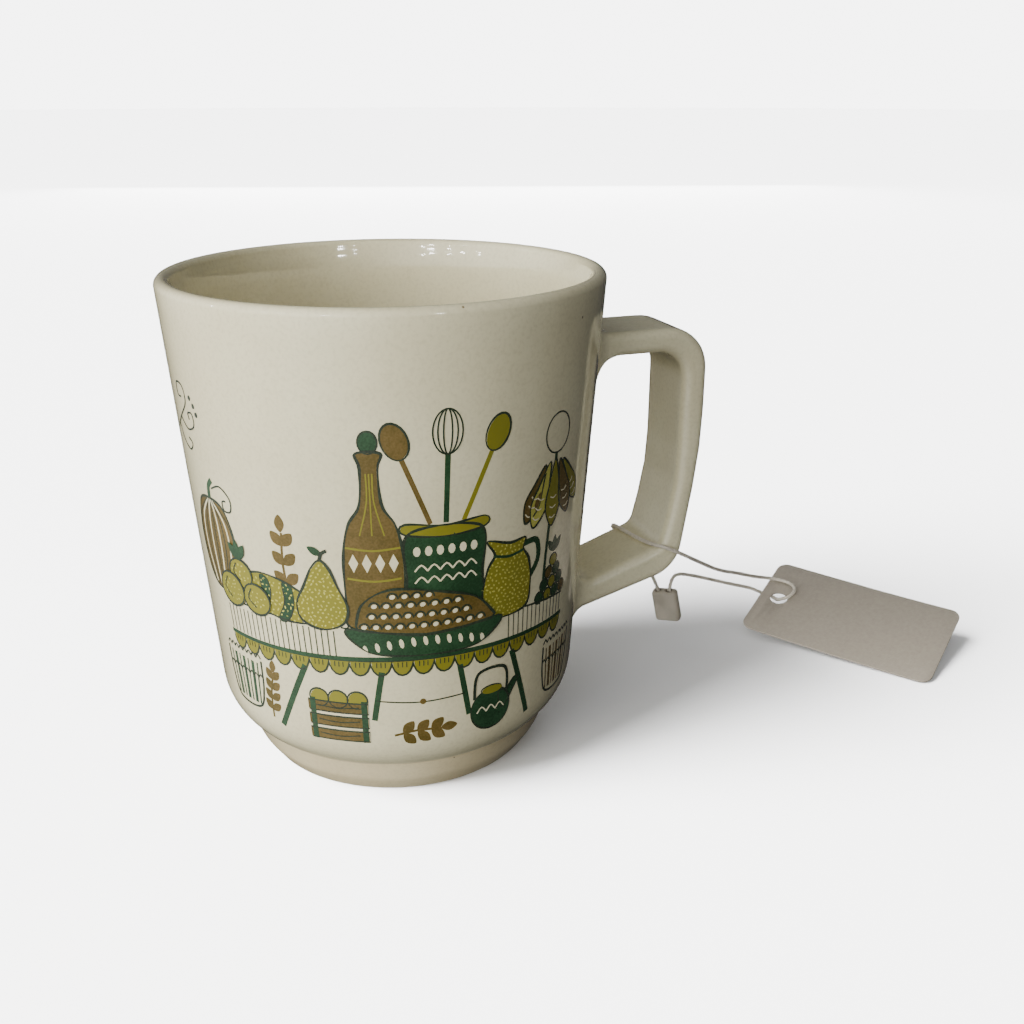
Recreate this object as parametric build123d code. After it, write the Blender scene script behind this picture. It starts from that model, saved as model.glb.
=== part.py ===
"""Ceramic mug with a swing tag tied round its handle.

Millimetres. The origin is the middle of the foot ring on the table, +Z is the
mug's axis and +X points at the handle.
"""

import math
import os

from build123d import *

# ---- mug body
HEIGHT = 92.1
RIM_R = 40.0
LIP_ROUND = 1.3
FOOT_R = 26.3
FOOT_INNER_R = 22.5
FOOT_RECESS = 2.4
CREASE_R = 30.9
CREASE_Z = 8.2
SHOULDER = (34.35, 12.3)
SHOULDER_ROUND = 12.0
WALL_SLOPE = 0.0718
WALL_THICK = 3.1
LIP_THICK = 2.8
FLOOR_Z = 8.6
BOWL_ROUND = 11.0

# ---- handle, outline in the XZ plane
STRAP_WIDTH = 17.2
STRAP_EDGE = 1.9
ROOT_X = 30.0
TOP_Z = 78.8
UNDER_Z = 74.2
GRIP_OUT_X = 62.4
GRIP_IN_X = 57.3
SEAM_SPREAD = 1.0
SEAM_RISE = 0.8
SEAM_CORNER = 2.8
SEAM_REACH = 12.0

# ---- swing card: one corner, its long and short directions
CARD_CORNER = Vector(103.85, 22.78, 10.16)
CARD_LONG = Vector(0.6141, -0.7874, -0.0573)
CARD_SHORT = Vector(-0.7663, -0.5735, -0.2891)
CARD_SIZE = (44.0, 25.5)
CARD_THICK = 0.45
CARD_ROUND = 2.5
HOLE_IN = 4.5
HOLE_D = 4.0

# ---- string and its seal
STRING_D = 0.85
SEAL_CORNER = Vector(61.7, 10.0, 15.0)
SEAL_ACROSS = Vector(0.7114, -0.6913, 0.1266)
SEAL_DOWN = Vector(0.2300, 0.0590, -0.9714)
SEAL_SIZE = (5.8, 8.1, 2.6)
SEAL_ROUND = 0.9
SOCKET_D = 1.7
SOCKET_DEEP = 1.0
SOCKET_A = 1.5
SOCKET_B = 4.0
STRING_SUNK = 0.35
PLUG_LONG = 5.0


def wall_radius(height):
    """The outer radius of the straight part of the wall."""
    return RIM_R - WALL_SLOPE * (HEIGHT - LIP_ROUND - height)


def outer_edges():
    """The wall's outline from the foot's contact ring up to the rim."""
    foot = ThreePointArc((FOOT_R, 0), (28.5, 3.3), (30.2, CREASE_Z - 0.5))
    step = Line((30.2, CREASE_Z - 0.5), (CREASE_R, CREASE_Z))
    wall = FilletPolyline((CREASE_R, CREASE_Z), SHOULDER, (RIM_R, HEIGHT - LIP_ROUND),
                          radius=SHOULDER_ROUND)
    return foot, step, wall


def filled_wall():
    """Everything inside the mug's outer surface."""
    foot, step, wall = outer_edges()
    close = Polyline((RIM_R, HEIGHT - LIP_ROUND), (RIM_R, HEIGHT), (0, HEIGHT), (0, 0), (FOOT_R, 0))
    return revolve(Plane.XZ * make_face([foot, step, wall, close]), Axis.Z)


def mug_body():
    """The cup with its rounded lip, bowl, foot ring and recessed base."""
    foot, step, wall = outer_edges()
    lip_in = RIM_R - LIP_THICK
    lip_z = HEIGHT - LIP_ROUND
    lip = RadiusArc((RIM_R, lip_z), (lip_in, lip_z), -LIP_THICK / 2)
    bowl = FilletPolyline((lip_in, lip_z), (SHOULDER[0] - WALL_THICK, FLOOR_Z), (0, FLOOR_Z),
                          radius=BOWL_ROUND)
    base = Polyline((0, FLOOR_Z), (0, FOOT_RECESS), (FOOT_INNER_R - 1.0, FOOT_RECESS),
                    (FOOT_INNER_R, 0), (FOOT_R, 0))
    return revolve(Plane.XZ * make_face([foot, step, wall, lip, bowl, base]), Axis.Z)


def handle_outline():
    """The strap seen from the side, with its arch under the top arm."""
    outer = FilletPolyline((ROOT_X, TOP_Z), (GRIP_OUT_X, TOP_Z), (GRIP_OUT_X, 54.0),
                           (58.25, 28.1), (ROOT_X, 20.3), radius=[8.4, 100.0, 8.0])
    inner = FilletPolyline((34.6, 60.0), (39.3, UNDER_Z), (GRIP_IN_X, UNDER_Z), (GRIP_IN_X, 47.0),
                           (54.0, 33.7), (36.6, 27.5), (33.0, 38.0), radius=[6.5, 5.4, 60.0, 2.8, 3.0])
    left = Polyline((ROOT_X, 20.3), (ROOT_X, TOP_Z))
    back = Line((33.0, 38.0), (34.6, 60.0))
    return make_face([outer, left]) - make_face([inner, back])


def raw_handle():
    """The strap before its roots are fitted to the wall."""
    slab = extrude(Plane.XZ * handle_outline(), STRAP_WIDTH / 2, both=True)
    faces = slab.faces().filter_by(Axis.Y)
    rims = [e for f in faces for e in f.edges() if e.center().X > 39.0]
    return fillet(rims, STRAP_EDGE)


def slip_seam(wall, strap, z_low, z_high):
    """The low bead of slip around one root of the strap."""
    side = Plane(origin=(ROOT_X, 0, (z_low + z_high) / 2), x_dir=(0, 1, 0), z_dir=(1, 0, 0))
    patch = RectangleRounded(STRAP_WIDTH + 2 * SEAM_SPREAD, z_high - z_low, SEAM_CORNER)
    low, high = wall_radius(z_low - 1) + SEAM_RISE, wall_radius(z_high + 1) + SEAM_RISE
    face = make_face(Polyline((0, z_low - 1), (low, z_low - 1), (high, z_high + 1), (0, z_high + 1),
                              (0, z_low - 1)))
    return (extrude(side * patch, SEAM_REACH) & revolve(Plane.XZ * face, Axis.Z)) - wall - strap


def on_card(along, across, above):
    """A point given along and across the card and above its mid-plane."""
    up = CARD_SHORT.cross(CARD_LONG).normalized()
    return CARD_CORNER + CARD_LONG * along + CARD_SHORT * across + up * above


def swing_card():
    """The blank card with rounded corners and one punched hole."""
    length, width = CARD_SIZE
    plane = Plane(origin=on_card(length / 2, width / 2, 0), x_dir=CARD_LONG,
                  z_dir=CARD_SHORT.cross(CARD_LONG))
    blank = RectangleRounded(length, width, CARD_ROUND)
    hole = Pos(HOLE_IN - length / 2, 0) * Circle(HOLE_D / 2)
    return extrude(plane * (blank - hole), CARD_THICK / 2, both=True)


def on_seal(across, down):
    """A point given across the seal and down from its top edge."""
    return SEAL_CORNER + SEAL_ACROSS * across + SEAL_DOWN * down


def seal_pin(across, top, bottom):
    """A round rod standing inside the seal between two depths."""
    plane = Plane(origin=on_seal(across, bottom), x_dir=SEAL_ACROSS, z_dir=SEAL_DOWN * -1)
    return extrude(plane * Circle(SOCKET_D / 2), bottom - top)


def string_seal():
    """The moulded lozenge with its two sockets, and the plug pushed into one."""
    wide, tall, thick = SEAL_SIZE
    block = Plane(origin=on_seal(wide / 2, tall / 2), x_dir=SEAL_ACROSS,
                  z_dir=SEAL_DOWN * -1) * Box(wide, thick, tall)
    block = fillet(block.edges(), SEAL_ROUND)
    plug_end = SOCKET_DEEP + PLUG_LONG
    block -= seal_pin(SOCKET_A, -1.0, SOCKET_DEEP)
    block -= seal_pin(SOCKET_B, -1.0, plug_end)
    return block, seal_pin(SOCKET_B, SOCKET_DEEP, plug_end)


def string_points():
    """The string's control points, from one seal socket round to the other."""
    over_handle = [(60.6, 9.4, 20.4), (57.2, 9.9, 25.4), (53.8, 9.6, 29.2), (50.9, 9.3, 31.8),
                   (50.4, 7.8, 33.2), (50.9, 3.4, 33.3), (51.6, -2.8, 33.6), (52.5, -7.5, 34.0),
                   (54.3, -9.4, 34.0), (58.9, -9.3, 31.5)]
    to_card = [(65.8, -4.2, 26.7), (73.6, 1.5, 21.4), (82.2, 7.5, 17.0), (90.6, 13.5, 12.3)]
    on_top = [(-0.6, 8.4, 1.5), (2.9, 7.2, 1.1), (6.2, 7.9, 1.3), (7.6, 10.1, 1.5),
              (6.9, 12.4, 1.2), (5.0, 13.2, 0.4)]
    below = [(4.0, 12.3, -0.9), (1.6, 11.0, -1.4), (-1.6, 10.9, -1.3)]
    back = [(91.8, 17.1, 7.7), (85.4, 14.6, 10.6), (77.2, 11.6, 14.5), (71.2, 9.6, 17.2),
            (67.6, 8.5, 18.6), (65.2, 7.7, 18.3)]
    points = [on_seal(SOCKET_A, STRING_SUNK)] + [Vector(p) for p in over_handle + to_card]
    points += [on_card(*p) for p in on_top + below] + [Vector(p) for p in back]
    return points + [on_seal(SOCKET_B, STRING_SUNK)]


def bend_radii(points):
    """The arc at each corner: 0.45 of the shorter run over the half turn's tangent."""
    radii = []
    for before, here, after in zip(points, points[1:], points[2:]):
        one, two = here - before, after - here
        turn = math.radians(one.get_angle(two))
        radii.append(0.45 * min(one.length, two.length) / math.tan(turn / 2))
    return radii


def tag_string():
    """The thin cord as one tube, with its length and tightest arcs printed."""
    points = string_points()
    radii = bend_radii(points)
    path = FilletPolyline(*points, radius=radii)
    print("radii", [round(r, 1) for r in radii])
    print("runs", [round((b - a).length, 1) for a, b in zip(points, points[1:])])
    start = Plane(origin=path @ 0, z_dir=path % 0)
    tube = sweep(start * Circle(STRING_D / 2), path=path)
    print("string length", round(path.length, 1), "volume", round(tube.volume, 2),
          "section x length", round(math.pi * STRING_D ** 2 / 4 * path.length, 2))
    return tube


def build_parts():
    """Every sub-part by name."""
    wall = filled_wall()
    strap = raw_handle()
    housing, plug = string_seal()
    return {
        "mug_body": mug_body(),
        "handle": strap - wall,
        "upper_slip_seam": slip_seam(wall, strap, 69.0, 80.2),
        "lower_slip_seam": slip_seam(wall, strap, 20.4, 31.4),
        "tag_string": tag_string(),
        "swing_card": swing_card(),
        "seal_housing": housing,
        "seal_plug": plug,
    }


if __name__ == "__main__":
    os.makedirs("parts", exist_ok=True)
    for name, shape in build_parts().items():
        print(name, "volume", round(shape.volume, 2), "valid", shape.is_valid)
        export_step(shape, f"parts/{name}.step")
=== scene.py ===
"""Cream glazed mug with a printed kitchen frieze and a blank swing tag on a string."""

import math
import random

import bpy
from mathutils import Matrix, Vector


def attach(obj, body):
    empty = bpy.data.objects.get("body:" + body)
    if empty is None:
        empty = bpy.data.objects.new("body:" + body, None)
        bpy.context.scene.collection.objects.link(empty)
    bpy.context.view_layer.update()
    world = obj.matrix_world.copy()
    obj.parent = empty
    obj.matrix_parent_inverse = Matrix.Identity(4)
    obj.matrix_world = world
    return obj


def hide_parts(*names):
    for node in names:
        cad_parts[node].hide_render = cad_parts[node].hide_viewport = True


bl_info = {
    "name": "Printed Mug with Swing Tag",
    "version": (1, 0, 0),
    "blender": (4, 5, 0),
    "location": "View3D > Sidebar > Mug",
    "description": "Builds a glazed mug, its printed frieze and its tied tag round a CAD frame",
    "category": "Add Mesh",
}

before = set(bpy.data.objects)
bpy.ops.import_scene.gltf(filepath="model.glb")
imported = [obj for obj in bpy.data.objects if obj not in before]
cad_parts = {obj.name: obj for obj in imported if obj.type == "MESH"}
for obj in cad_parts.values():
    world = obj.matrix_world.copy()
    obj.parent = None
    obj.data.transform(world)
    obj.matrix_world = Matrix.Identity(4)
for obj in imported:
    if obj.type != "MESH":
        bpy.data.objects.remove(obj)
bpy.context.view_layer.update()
MM = 0.001

# ---- shapes shared with the CAD model, in millimetres
RIM_R = 40.0
LIP_R = 1.4
LIP_Z = 90.8
FOOT_IN = 22.5
FOOT_TOP_Z = 8.2
STRAP_WIDTH = 17.2
STRAP_TOP_Z = 78.8
STRAP_UNDER_Z = 74.2
GRIP_OUT_X = 62.4
GRIP_IN_X = 57.3
FRONT_DEG = -103.0
PRINT_R = 37.3
FRIEZE_REPEAT = 101.0
PRINT_CUT = 2.2
SHOULDER_BAND = (11.5, 17.5)
INK_THICK = 0.02

CARD_CORNER = Vector((103.85, 22.78, 10.16))
CARD_LONG = Vector((0.6141, -0.7874, -0.0573)).normalized()
CARD_SHORT = Vector((-0.7663, -0.5735, -0.2891)).normalized()
CARD_UP = CARD_SHORT.cross(CARD_LONG).normalized()
CARD_LENGTH, CARD_WIDTH, CARD_THICK = 44.0, 25.5, 0.42
CARD_ROUND, CARD_EDGE = 2.5, 0.07
HOLE_IN, HOLE_R = 4.5, 2.0
SEAL_CORNER = Vector((61.7, 10.0, 15.0))
SEAL_ACROSS = Vector((0.7114, -0.6913, 0.1266))
SEAL_DOWN = Vector((0.2300, 0.0590, -0.9714))


# ---------------------------------------------------------------- modelling helpers
def calm():
    """Back to object mode with nothing selected."""
    if bpy.context.mode != "OBJECT":
        bpy.ops.object.mode_set(mode="OBJECT")
    bpy.ops.object.select_all(action="DESELECT")


def start(name):
    """Names the new primitive and opens it for editing with nothing selected in it."""
    piece = bpy.context.active_object
    piece.name = piece.data.name = name
    bpy.ops.object.mode_set(mode="EDIT")
    bpy.ops.mesh.select_all(action="DESELECT")
    return piece


def only(piece):
    """Makes this the one selected, active object."""
    calm()
    piece.select_set(True)
    bpy.context.view_layer.objects.active = piece


def modify(piece, kind, **settings):
    """Adds a modifier with its settings and applies it."""
    only(piece)
    made = piece.modifiers.new(kind.title(), kind)
    for key, value in settings.items():
        setattr(made, key, value)
    bpy.ops.object.modifier_apply(modifier=made.name)


def smooth(piece, degrees=35.0):
    """Smooth shading that keeps edges sharper than the angle."""
    only(piece)
    bpy.ops.object.shade_smooth_by_angle(angle=math.radians(degrees))


def settle(piece, body, slot, *nodes):
    """Puts the place into the mesh, then rides on a body and stands for its CAD nodes."""
    only(piece)
    bpy.ops.object.transform_apply(location=True, rotation=True, scale=True)
    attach(piece, body)
    if nodes:
        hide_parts(*nodes)


# ---------------------------------------------------------------- plane geometry, in mm
def rounded(corners, radii, step=6.0):
    """The straight and arc spans of a polyline whose corners are rounded."""
    spans, here = [], Vector(corners[0])
    for corner, after, radius in zip(corners[1:], corners[2:], radii):
        corner, after = Vector(corner), Vector(after)
        one, two = (here - corner).normalized(), (after - corner).normalized()
        turn = math.pi - one.angle(two)
        reach = radius * math.tan(turn / 2)
        begin, end = corner + one * reach, corner + two * reach
        centre = corner + (one + two).normalized() * (radius / math.cos(turn / 2))
        count = max(2, round(math.degrees(turn) / step))
        arc = []
        for i in range(count + 1):
            along = (begin - centre).slerp(end - centre, i / count)
            arc.append(centre + along.normalized() * radius)
        spans += [[here, begin], arc]
        here = end
    return spans + [[here, Vector(corners[-1])]]


def resample(points, count):
    """Points spaced evenly along a polyline, both ends kept."""
    lengths = [0.0]
    for a, b in zip(points, points[1:]):
        lengths.append(lengths[-1] + (b - a).length)
    result, k = [], 0
    for i in range(count + 1):
        want = lengths[-1] * i / count
        while k < len(points) - 2 and lengths[k + 1] < want:
            k += 1
        part = (want - lengths[k]) / max(1e-9, lengths[k + 1] - lengths[k])
        result.append(points[k].lerp(points[k + 1], min(1.0, max(0.0, part))))
    return result


def wall_stations():
    """(radius, height) stations from the base's middle, over the lip, to the bowl's middle."""
    outside = [(0.4, 2.4), (21.6, 2.4), (22.6, 0.0), (26.4, 0.0), (28.7, 3.4), (30.25, 7.7),
               (30.95, 8.35), (34.35, 12.3), (RIM_R, LIP_Z)]
    spans = rounded(outside, [0.5, 0.4, 0.8, 7.0, 0.3, 0.6, 12.0])
    points = [p for span in spans[:-1] for p in span[:-1]]
    points += resample(spans[-1], 22)
    middle = RIM_R - LIP_R
    for i in range(1, 13):
        turn = math.pi * i / 12
        points.append(Vector((middle + LIP_R * math.cos(turn), LIP_Z + LIP_R * math.sin(turn))))
    points += [Vector(p) for p in ((36.85, 89.8), (36.55, 88.6), (36.32, 87.2), (36.16, 85.4),
                                   (36.02, 82.8), (35.80, 78.0))]
    inside = rounded([(35.10, 62.0), (31.25, 8.6), (0.4, 8.6)], [11.0])
    points += resample(inside[0], 12) + inside[1][1:] + resample(inside[2], 6)[1:]
    return points


def outer_wall():
    """The stations outside, from above the foot ring up to the top of the lip."""
    stations = wall_stations()
    top = max(range(len(stations)), key=lambda i: stations[i].y)
    return [p for p in stations[:top] if p.x > 28.0]


WALL_LINE = outer_wall()


def wall_radius(height):
    """The outer radius of the wall at a height."""
    for low, high in zip(WALL_LINE, WALL_LINE[1:]):
        if high.y >= height:
            part = (height - low.y) / max(1e-6, high.y - low.y)
            return low.x + (high.x - low.x) * part
    return RIM_R


# ---------------------------------------------------------------- materials
def linear(code):
    """An sRGB hex colour as linear red, green, blue and alpha."""
    values = [int(code[i:i + 2], 16) / 255 for i in (0, 2, 4)]
    return [v / 12.92 if v <= 0.04045 else ((v + 0.055) / 1.055) ** 2.4 for v in values] + [1.0]


def node(tree, kind, links=(), **settings):
    """Adds a node, sets its sockets or properties, and links (socket, from) pairs."""
    made = tree.nodes.new(kind)
    for key, value in settings.items():
        socket = key.replace("_", " ")
        if socket in made.inputs:
            made.inputs[socket].default_value = value
        elif key.startswith("in") and key[2:].isdigit():
            made.inputs[int(key[2:])].default_value = value
        else:
            setattr(made, key, value)
    for target, source in links:
        tree.links.new(source, made.inputs[target])
    return made


def finish_of(name, **sockets):
    """A new material, its tree and its Principled shader with constants set."""
    made = bpy.data.materials.new(name)
    made.use_nodes = True
    tree = made.node_tree
    shader = tree.nodes["Principled BSDF"]
    for key, value in sockets.items():
        shader.inputs[key.replace("_", " ")].default_value = value
    return made, tree, shader


def blend_colours(tree, first, second, amount):
    """A colour socket running from one hex colour to another."""
    mix = node(tree, "ShaderNodeMix", [(0, amount)], data_type="RGBA")
    mix.inputs[6].default_value = linear(first)
    mix.inputs[7].default_value = linear(second)
    return mix.outputs[2]


def ramp(tree, source, low, high):
    """A 0 to 1 socket that rises between two values of its source."""
    return node(tree, "ShaderNodeMapRange", [("Value", source)], From_Min=low, From_Max=high).outputs[0]


def fired_glaze(name, light, dark, roughness):
    """Transparent-over-cream kiln glaze: even gloss, a soft orange-peel and rare dark specks."""
    made, tree, shader = finish_of(name, IOR=1.5, Roughness=roughness, Coat_Weight=0.6,
                                   Coat_Roughness=0.03)
    place = node(tree, "ShaderNodeTexCoord").outputs["Object"]
    # cloudy thickness of the glaze, patches about 25 mm across
    cloud = node(tree, "ShaderNodeTexNoise", [("Vector", place)], Scale=40.0, Detail=3.0)
    base = blend_colours(tree, light, dark, ramp(tree, cloud.outputs[0], 0.35, 0.7))
    # fine tooth in the glaze, about 0.6 mm, drawn a little coarser than real so that it shows
    tooth = node(tree, "ShaderNodeTexNoise", [("Vector", place)], Scale=1500.0, Detail=2.0)
    fine = node(tree, "ShaderNodeMix", [(0, ramp(tree, tooth.outputs[0], 0.45, 0.75)), (6, base)],
                data_type="RGBA", blend_type="MULTIPLY")
    fine.inputs[7].default_value = (0.90, 0.895, 0.88, 1.0)
    # rare iron specks, each about a third of a millimetre across
    spots = node(tree, "ShaderNodeTexVoronoi", [("Vector", place)], Scale=170.0, Randomness=1.0)
    keep = node(tree, "ShaderNodeTexNoise", [("Vector", place)], Scale=90.0, Detail=0.0)
    near = ramp(tree, spots.outputs["Distance"], 0.050, 0.030)
    rare = ramp(tree, keep.outputs[0], 0.66, 0.68)
    speck = node(tree, "ShaderNodeMath", [(0, near), (1, rare)], operation="MULTIPLY")
    last = node(tree, "ShaderNodeMix", [(0, speck.outputs[0]), (6, fine.outputs[2])], data_type="RGBA")
    last.inputs[7].default_value = linear("7A6A50")
    tree.links.new(last.outputs[2], shader.inputs["Base Color"])
    # long soft waves from the wheel, 12 mm, under an orange-peel of about 2 mm
    wave = node(tree, "ShaderNodeTexNoise", [("Vector", place)], Scale=85.0, Detail=1.0)
    peel = node(tree, "ShaderNodeTexNoise", [("Vector", place)], Scale=520.0, Detail=2.0)
    deep = node(tree, "ShaderNodeBump", [("Height", wave.outputs[0])], Strength=0.10, Distance=0.0022)
    skin = node(tree, "ShaderNodeBump", [("Height", peel.outputs[0]), ("Normal", deep.outputs[0])],
                Strength=0.05, Distance=0.0004)
    tree.links.new(skin.outputs[0], shader.inputs["Normal"])
    return made


def bare_clay(name):
    """Unglazed fired earthenware on the contact ring: dry, fine-grained and a bit yellow."""
    made, tree, shader = finish_of(name, Roughness=0.85, IOR=1.45)
    place = node(tree, "ShaderNodeTexCoord").outputs["Object"]
    grain = node(tree, "ShaderNodeTexNoise", [("Vector", place)], Scale=2400.0, Detail=4.0)
    tree.links.new(blend_colours(tree, "C9B793", "A8946F", ramp(tree, grain.outputs[0], 0.35, 0.7)),
                   shader.inputs["Base Color"])
    bump = node(tree, "ShaderNodeBump", [("Height", grain.outputs[0])], Strength=0.4, Distance=0.0002)
    tree.links.new(bump.outputs[0], shader.inputs["Normal"])
    return made


def fired_ink(name, colour, shade, gloss):
    """Screen-printed ceramic ink sunk in the glaze: flat colour with a slightly grainy deposit."""
    made, tree, shader = finish_of(name, Roughness=gloss, IOR=1.5, Coat_Weight=0.3, Coat_Roughness=0.08)
    place = node(tree, "ShaderNodeTexCoord").outputs["Object"]
    # pigment grain of about 0.4 mm and wash of about 6 mm
    grain = node(tree, "ShaderNodeTexNoise", [("Vector", place)], Scale=2600.0, Detail=2.0)
    wash = node(tree, "ShaderNodeTexNoise", [("Vector", place)], Scale=170.0, Detail=2.0)
    both = node(tree, "ShaderNodeMath", [(0, grain.outputs[0]), (1, wash.outputs[0])], operation="ADD")
    tree.links.new(blend_colours(tree, colour, shade, ramp(tree, both.outputs[0], 0.8, 1.25)),
                   shader.inputs["Base Color"])
    return made


def twisted_cotton(name):
    """Two-ply cotton string: soft fibres laid along each ply, matt with a little fuzz sheen."""
    made, tree, shader = finish_of(name, Roughness=0.9, IOR=1.45, Sheen_Weight=0.25)
    place = node(tree, "ShaderNodeTexCoord").outputs["Object"]
    fibre = node(tree, "ShaderNodeTexNoise", [("Vector", place)], Scale=4200.0, Detail=3.0)
    dust = node(tree, "ShaderNodeTexNoise", [("Vector", place)], Scale=260.0, Detail=1.0)
    tone = node(tree, "ShaderNodeMath", [(0, fibre.outputs[0]), (1, dust.outputs[0])], operation="ADD")
    tree.links.new(blend_colours(tree, "DDD6C6", "B5AD9C", ramp(tree, tone.outputs[0], 0.75, 1.3)),
                   shader.inputs["Base Color"])
    bump = node(tree, "ShaderNodeBump", [("Height", fibre.outputs[0])], Strength=0.5, Distance=0.0001)
    tree.links.new(bump.outputs[0], shader.inputs["Normal"])
    return made


def pressed_board(name, light, dark):
    """Uncoated tag board: pressed paper pulp, dull, with short fibres and faint mottling."""
    made, tree, shader = finish_of(name, Roughness=0.78, IOR=1.45)
    place = node(tree, "ShaderNodeTexCoord").outputs["Object"]
    mottle = node(tree, "ShaderNodeTexNoise", [("Vector", place)], Scale=1100.0, Detail=4.0)
    squash = node(tree, "ShaderNodeMapping", [("Vector", place)], Scale=(1500.0, 4200.0, 1500.0))
    fibre = node(tree, "ShaderNodeTexNoise", [("Vector", squash.outputs[0])], Scale=1.0, Detail=3.0)
    tone = node(tree, "ShaderNodeMath", [(0, mottle.outputs[0]), (1, fibre.outputs[0])], operation="ADD")
    tree.links.new(blend_colours(tree, light, dark, ramp(tree, tone.outputs[0], 0.7, 1.3)),
                   shader.inputs["Base Color"])
    bump = node(tree, "ShaderNodeBump", [("Height", fibre.outputs[0])], Strength=0.3, Distance=0.00008)
    tree.links.new(bump.outputs[0], shader.inputs["Normal"])
    return made


def moulded_nylon(name, light, dark):
    """Injection-moulded nylon of a tag seal: satin, faintly cloudy, with mould texture."""
    made, tree, shader = finish_of(name, Roughness=0.45, IOR=1.53)
    place = node(tree, "ShaderNodeTexCoord").outputs["Object"]
    cloud = node(tree, "ShaderNodeTexNoise", [("Vector", place)], Scale=300.0, Detail=2.0)
    tree.links.new(blend_colours(tree, light, dark, ramp(tree, cloud.outputs[0], 0.35, 0.7)),
                   shader.inputs["Base Color"])
    skin = node(tree, "ShaderNodeTexNoise", [("Vector", place)], Scale=3500.0, Detail=1.0)
    bump = node(tree, "ShaderNodeBump", [("Height", skin.outputs[0])], Strength=0.15, Distance=0.0001)
    tree.links.new(bump.outputs[0], shader.inputs["Normal"])
    return made


# ---------------------------------------------------------------- the printed frieze, drawn flat
class Sheet:
    """Flat shapes of one ink: points are (along, height, layer) in millimetres."""

    def __init__(self):
        self.points, self.faces = [], []

    def fill(self, outline, layer):
        first = len(self.points)
        self.points += [(x, y, layer) for x, y in outline]
        self.faces.append(list(range(first, len(self.points))))

    def ribbon(self, line, widths, layer, closed=False):
        first, count = len(self.points), len(line)
        for i, (x, y) in enumerate(line):
            if closed:
                a, b = line[i - 1], line[(i + 1) % count]
            else:
                a, b = line[max(0, i - 1)], line[min(count - 1, i + 1)]
            dx, dy = b[0] - a[0], b[1] - a[1]
            size = math.hypot(dx, dy) or 1.0
            nx, ny = -dy / size * widths[i] / 2, dx / size * widths[i] / 2
            self.points += [(x + nx, y + ny, layer), (x - nx, y - ny, layer)]
        for i in range(count if closed else count - 1):
            j = (i + 1) % count
            a, b = first + 2 * i, first + 2 * j
            self.faces.append([a, a + 1, b + 1, b])


def curve_through(knots, closed=False, pace=0.55):
    """A smooth line through knots, with points about every half millimetre."""
    count, line = len(knots), []
    last = count if closed else count - 1
    for i in range(last):
        p1, p2 = knots[i], knots[(i + 1) % count]
        p0 = knots[i - 1] if closed or i > 0 else p1
        p3 = knots[(i + 2) % count] if closed or i + 2 < count else p2
        steps = max(2, math.ceil(math.dist(p1, p2) / pace))
        for k in range(steps):
            t = k / steps
            line.append(tuple(
                0.5 * (2 * b + (c - a) * t + (2 * a - 5 * b + 4 * c - d) * t * t
                       + (3 * b - a - 3 * c + d) * t ** 3)
                for a, b, c, d in zip(p0, p1, p2, p3)))
    return line if closed else line + [knots[-1]]


def oval(x, y, rx, ry, tilt=0.0, count=20):
    """An ellipse's outline, tilted in degrees."""
    c, s = math.cos(math.radians(tilt)), math.sin(math.radians(tilt))
    result = []
    for i in range(count):
        a = 2 * math.pi * i / count
        px, py = rx * math.cos(a), ry * math.sin(a)
        result.append((x + px * c - py * s, y + px * s + py * c))
    return result


def inside(point, outline):
    """Whether a point lies in a closed outline."""
    x, y = point
    hit = False
    for (ax, ay), (bx, by) in zip(outline, outline[1:] + outline[:1]):
        if (ay > y) != (by > y) and x < (bx - ax) * (y - ay) / (by - ay) + ax:
            hit = not hit
    return hit


FILL, OVER, LINE, TOP = 0.020, 0.032, 0.044, 0.056
IN_FRONT = 0.05
# how far each colour's screen printed off its outlines, in millimetres
MISPRINT = {"olive": (0.20, -0.12), "brown": (-0.16, 0.10), "green": (0.06, 0.05)}


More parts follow.
